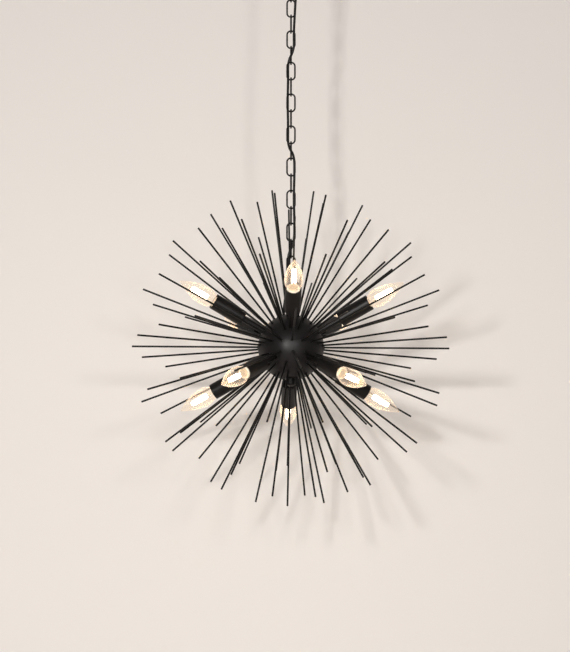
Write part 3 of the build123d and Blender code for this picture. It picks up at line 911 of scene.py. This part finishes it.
@dataclass
class Lamps:
    """Ten candle lamps: arms, sleeves, holders and lit bulbs.

    The glass is drawn by its radius and height at each change of arc, and arc_steps counts the
    straight pieces of its belly, foot, body, slope and tip. Heights of the stem's corners are above
    the bulb's start. Each wire's corners are a share of the sticks' circle and a height above the
    sticks' lower or upper ends.
    """

    middle: Vector
    rows: tuple[Row, ...] = (Row(63.435, 5, 0.0), Row(116.565, 5, 36.0))
    bulb_start: float = 170.0 * MM
    bulb_length: float = 74.0 * MM
    bulb_radius: float = 17.5 * MM
    neck_radius: float = 7.6 * MM
    shoulder: tuple[float, float] = (14.9 * MM, 7.5 * MM)
    widest_height: float = 19.2 * MM
    flank: tuple[float, float] = (10.85 * MM, 53.3 * MM)
    tip_turn: tuple[float, float] = (2.4 * MM, 72.2 * MM)
    tip_flat: float = 0.05 * MM
    arc_steps: tuple[int, ...] = (6, 6, 10, 4, 5)
    wall: float = 0.8 * MM
    bulb_sides: int = 48
    bulb_sharp: float = 70.0
    stem: tuple[tuple[float, float], ...] = (
        (5.4 * MM, 1.2 * MM),
        (3.4 * MM, 4.2 * MM),
        (2.4 * MM, 8.0 * MM),
        (3.0 * MM, 10.0 * MM),
        (0.7 * MM, 11.5 * MM),
        (0.7 * MM, 52.0 * MM),
    )
    stem_sides: int = 20
    stick_low: float = 184.0 * MM
    stick_length: float = 36.0 * MM
    stick_radius: float = 1.7 * MM
    stick_end_radius: float = 0.2 * MM
    stick_circle: float = 4.2 * MM
    stick_count: int = 4
    stick_lean: float = 0.72
    stick_steps: int = 8
    stick_sides: int = 10
    wire_radius: float = 0.35 * MM
    wire_sides: int = 6
    foot_wire: tuple[tuple[float, float], ...] = ((0.0, -5 * MM), (0.6, -3 * MM), (1.0, 0.4 * MM))
    head_wire: tuple[tuple[float, float], ...] = ((0.72, -0.4 * MM), (0.0, 1.5 * MM))

    def places(self) -> list[Matrix]:
        """Frames of the ten lamps."""
        return [place for row in self.rows for place in row.places(self.middle)]

    def stick_ways(self) -> list[Vector]:
        """Directions in which the sticks stand round a lamp's axis."""
        turns = [math.tau * (index + 0.5) / self.stick_count for index in range(self.stick_count)]
        return [Vector((math.cos(turn), math.sin(turn), 0)) for turn in turns]

    def envelope(self, shrink: float) -> list[tuple[float, float]]:
        """Outline the glass in tangent arcs from neck to tip.

        Args:
            shrink: How far the outline is moved in.

        Returns:
            Corners of (radius, height).
        """
        start = self.bulb_start
        steps = self.arc_steps
        widest = Vector((self.bulb_radius - shrink, start + self.widest_height))
        marks = (self.shoulder, (self.neck_radius, 0.0), self.flank, self.tip_turn)
        shoulder, neck, flank, turn = (
            Vector((radius - shrink, start + height)) for radius, height in marks
        )
        tip = Vector((self.tip_flat, start + self.bulb_length - shrink))
        belly, way = tangent_arc(widest, Vector((0.0, -1.0)), shoulder, steps[0])
        foot, _ = tangent_arc(shoulder, way, neck, steps[1])
        body, way = tangent_arc(widest, Vector((0.0, 1.0)), flank, steps[2])
        slope, way = tangent_arc(flank, way, turn, steps[3])
        rounding, _ = tangent_arc(turn, way, tip, steps[4])
        points = foot[::-1] + belly[::-1][1:] + body[1:] + slope[1:] + rounding[1:]
        return [tuple(point) for point in points]

    def glasses(self) -> bpy.types.Object:
        """Hollow glass of every bulb."""
        outline = self.envelope(0.0) + self.envelope(self.wall)[::-1]
        skin = Skin()
        for place in self.places():
            skin.lathe(place, outline, self.bulb_sides, closed=True)
        return skin.piece("candle_glasses", Finish.GLASS, sharp=self.bulb_sharp)

    def stems(self) -> bpy.types.Object:
        """Glass foot and post inside every bulb."""
        outline = [(radius, self.bulb_start + height) for radius, height in self.stem]
        skin = Skin()
        for place in self.places():
            skin.lathe(place, outline, self.stem_sides, closed=False)
        return skin.piece("glass_stems", Finish.STEM_GLASS)

    def stick_size(self, share: float) -> float:
        """Give a stick's radius along its length: round ends and an even middle.

        Args:
            share: Share of the stick's length.

        Returns:
            The radius there.
        """
        edge = min(share, 1 - share) * self.stick_length
        if edge >= self.stick_radius:
            return self.stick_radius
        rounded = math.sqrt(self.stick_radius**2 - (self.stick_radius - edge) ** 2)
        return max(rounded, self.stick_end_radius)

    def sticks(self) -> bpy.types.Object:
        """Make the lit sticks, rounded at both ends and leaning in towards the tip.

        Returns:
            The sticks of every bulb.
        """
        skin = Skin()
        shares = [step / self.stick_steps for step in range(self.stick_steps + 1)]
        for place in self.places():
            for way in self.stick_ways():
                path = []
                for share in shares:
                    out = way * self.stick_circle * (1 + (self.stick_lean - 1) * share)
                    height = self.stick_low + share * self.stick_length
                    path.append(place @ (out + Vector((0, 0, height))))
                skin.add_rings(tube_rings(path, self.stick_size, self.stick_sides))
        return skin.piece("filament_sticks", Finish.FILAMENT)

    def lead_wires(self) -> bpy.types.Object:
        """Make the thin wires that hold the sticks at both ends.

        Returns:
            The wires of every bulb.
        """
        skin = Skin()
        low = self.stick_low
        high = low + self.stick_length
        for place in self.places():
            for way in self.stick_ways():
                for corners, base in ((self.foot_wire, low), (self.head_wire, high)):
                    path = [
                        place @ (way * self.stick_circle * share + Vector((0, 0, base + height)))
                        for share, height in corners
                    ]
                    skin.add_rings(tube_rings(path, self.wire_radius, self.wire_sides))
        return skin.piece("lead_wires", Finish.ZINC)

    def build(self) -> int:
        """Dress the lamps' metal and build their bulbs.

        Returns:
            How many nodes and pieces were dressed or built.
        """
        count = dress(("arm_tubes", "lamp_sleeves"), Finish.PAINT)
        count += dress(("arm_nipples", "arm_locknuts"), Finish.ZINC)
        count += dress(("lamp_wires",), Finish.CORD)
        count += dress(("lampholders",), Finish.WHITE_PLASTIC)
        count += dress(("bulb_caps",), Finish.BRASS)
        for made, node, slot in (
            (self.glasses(), "bulb_glasses", "bulb_glass"),
            (self.stems(), "bulb_stems", "bulb_glass"),
            (self.sticks(), "bulb_filaments", "filament"),
        ):
            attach(made, "hub")
            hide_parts(node)
            count += 1
        wires = self.lead_wires()
        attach(wires, "hub")
        return count + 1


# --------------------------------------------------------------------------------------- the studio
@dataclass(frozen=True)
class SoftLamp:
    """A square lamp aimed at the hub: azimuth and height in degrees, side in metres, watts."""

    name: str
    azimuth: float
    height: float
    size: float
    power: float


@dataclass
class Studio:
    """Pale wall and floor, two soft lamps and the camera."""

    hub: Vector
    distance: float = 3.60
    tilt: float = 13.0
    yaw: float = 1.7
    picture: tuple[int, int] = (570, 652)
    hub_pixel: tuple[float, float] = (291.0, 347.4)
    metres_per_pixel: float = 0.00188
    sensor: float = 36.0
    sight: float = 50.0
    wall_gap: float = 0.42
    wall_half: float = 1.5
    floor_depth: float = 1.45
    floor_half: float = 6.0
    pale: Colour = (0.80, 0.755, 0.715)
    pale_shade: Colour = (0.77, 0.725, 0.69)
    shade_share: float = 0.5
    shade: Grain = Grain(1.6, 2.0)
    pale_roughness: float = 0.9
    pale_sheen: float = 0.1
    unseen_glow: Colour = (0.0, 0.0, 0.0)
    seen_glow: Colour = (0.225, 0.208, 0.195)
    room_light: Colour = (0.86, 0.82, 0.79)
    room_strength: float = 0.26
    room_seen: Colour = (0.74, 0.69, 0.65)
    lamp_distance: float = 2.6
    lamp_colour: Colour = (1.0, 0.985, 0.965)
    lamps: tuple[SoftLamp, ...] = (
        SoftLamp("left_lamp", -15.0, -3.0, 0.14, 33.0),
        SoftLamp("right_lamp", 10.0, -3.0, 0.14, 12.0),
    )

    def paint(self, name: str, see_through_back: bool) -> bpy.types.Material:
        """Make plain pale paint, for the wall or the floor.

        Args:
            name: The material's name.
            see_through_back: Whether the back face lets everything through.

        Returns:
            The material.
        """
        shader = Shader(bpy.data.materials.new(name))
        cloud = shader.noise(self.shade) * self.shade_share
        sockets = {
            "Base Color": shader.mix(cloud, self.pale, self.pale_shade),
            "Roughness": self.pale_roughness,
            "Specular IOR Level": self.pale_sheen,
            "Emission Color": shader.mix(shader.camera_ray(), self.unseen_glow, self.seen_glow),
            "Emission Strength": 1.0,
        }
        front = shader.principled(sockets)
        if not see_through_back:
            return shader.finish(front)
        clear = shader.node("ShaderNodeBsdfTransparent")
        back = shader.out(shader.node("ShaderNodeNewGeometry"), "Backfacing")
        return shader.finish(shader.blend(back, front, clear))

    def sheet(
        self, name: str, middle: Vector, first: Vector, second: Vector, paint: bpy.types.Material
    ) -> None:
        """Add one flat stage sheet.

        Args:
            name: The sheet's name.
            middle: Its middle.
            first: From the middle to one side.
            second: From the middle to the next side.
            paint: Its material.
        """
        corners = (
            middle - first - second,
            middle + first - second,
            middle + first + second,
            middle - first + second,
        )
        mesh = bpy.data.meshes.new(name)
        mesh.from_pydata([tuple(corner) for corner in corners], [], [(0, 1, 2, 3)])
        mesh.materials.append(paint)
        made = bpy.data.objects.new(name, mesh)
        bpy.context.scene.collection.objects.link(made)

    def aim(self, made: bpy.types.Object, way: Vector, distance: float) -> None:
        """Stand a lamp or the camera away from the hub and point it there.

        Args:
            made: The lamp or camera.
            way: Direction from the hub.
            distance: How far from the hub.
        """
        made.location = self.hub + way * distance
        made.rotation_euler = (-way).to_track_quat("-Z", "Y").to_euler()
        bpy.context.scene.collection.objects.link(made)

    def light(self, lamp: SoftLamp) -> None:
        """Add one soft lamp.

        Args:
            lamp: Its name, place, size and power.
        """
        data = bpy.data.lights.new(lamp.name, "AREA")
        data.shape = "SQUARE"
        data.size = lamp.size
        data.energy = lamp.power
        data.color = self.lamp_colour
        made = bpy.data.objects.new(lamp.name, data)
        self.aim(made, direction(lamp.azimuth, lamp.height), self.lamp_distance)

    def world(self) -> None:
        """Even pale light from everywhere, seen by the camera as a pale colour."""
        shader = Shader(bpy.data.worlds.new("pale_room"), "ShaderNodeOutputWorld")
        kind = "ShaderNodeBackground"
        light = shader.node(kind, None, {"Color": self.room_light, "Strength": self.room_strength})
        shown = shader.node(kind, None, {"Color": self.room_seen, "Strength": 1.0})
        bpy.context.scene.world = shader.finish(shader.blend(shader.camera_ray(), light, shown))

    def camera(self) -> None:
        """Camera at the photograph's angle: below the hub and looking up at it."""
        width, height = self.picture
        data = bpy.data.cameras.new("photo_camera")
        data.sensor_width = self.sensor
        data.lens = self.sensor * self.distance / (self.metres_per_pixel * height)
        data.shift_x = (width / 2 - self.hub_pixel[0]) / height
        data.shift_y = (self.hub_pixel[1] - height / 2) / height
        data.clip_end = self.sight
        made = bpy.data.objects.new("photo_camera", data)
        self.aim(made, direction(-self.yaw, -self.tilt), self.distance)
        bpy.context.scene.camera = made

    def build(self) -> int:
        """Build the wall, the floor, the lamps, the world and the camera.

        Returns:
            How many sheets and lamps stand round the object.
        """
        x, y, z = self.hub
        wide, far = self.wall_half, self.floor_half
        wall = Vector((x, y + self.wall_gap, z))
        paint = self.paint("wall_paint", True)
        self.sheet("pale_wall", wall, Vector((wide, 0, 0)), Vector((0, 0, wide)), paint)
        floor = Vector((x, y, z - self.floor_depth))
        paint = self.paint("floor_paint", False)
        self.sheet("pale_floor", floor, Vector((far, 0, 0)), Vector((0, far, 0)), paint)
        for lamp in self.lamps:
            self.light(lamp)
        self.world()
        self.camera()
        bpy.context.scene.view_settings.view_transform = "Standard"
        return 2 + len(self.lamps)


def main() -> None:
    """Build every sub-assembly in order."""
    logging.basicConfig(level=logging.INFO, format="%(name)s: %(message)s")
    hub_middle = middle_of("rods_row_5")
    parts = (
        Studio(hub_middle),
        CeilingMount(),
        Chain(),
        SupplyCord(),
        Hub(hub_middle),
        Lamps(hub_middle),
    )
    for part in parts:
        log.info("%s: %d pieces", type(part).__name__, part.build())


if __name__ == "__main__":
    main()
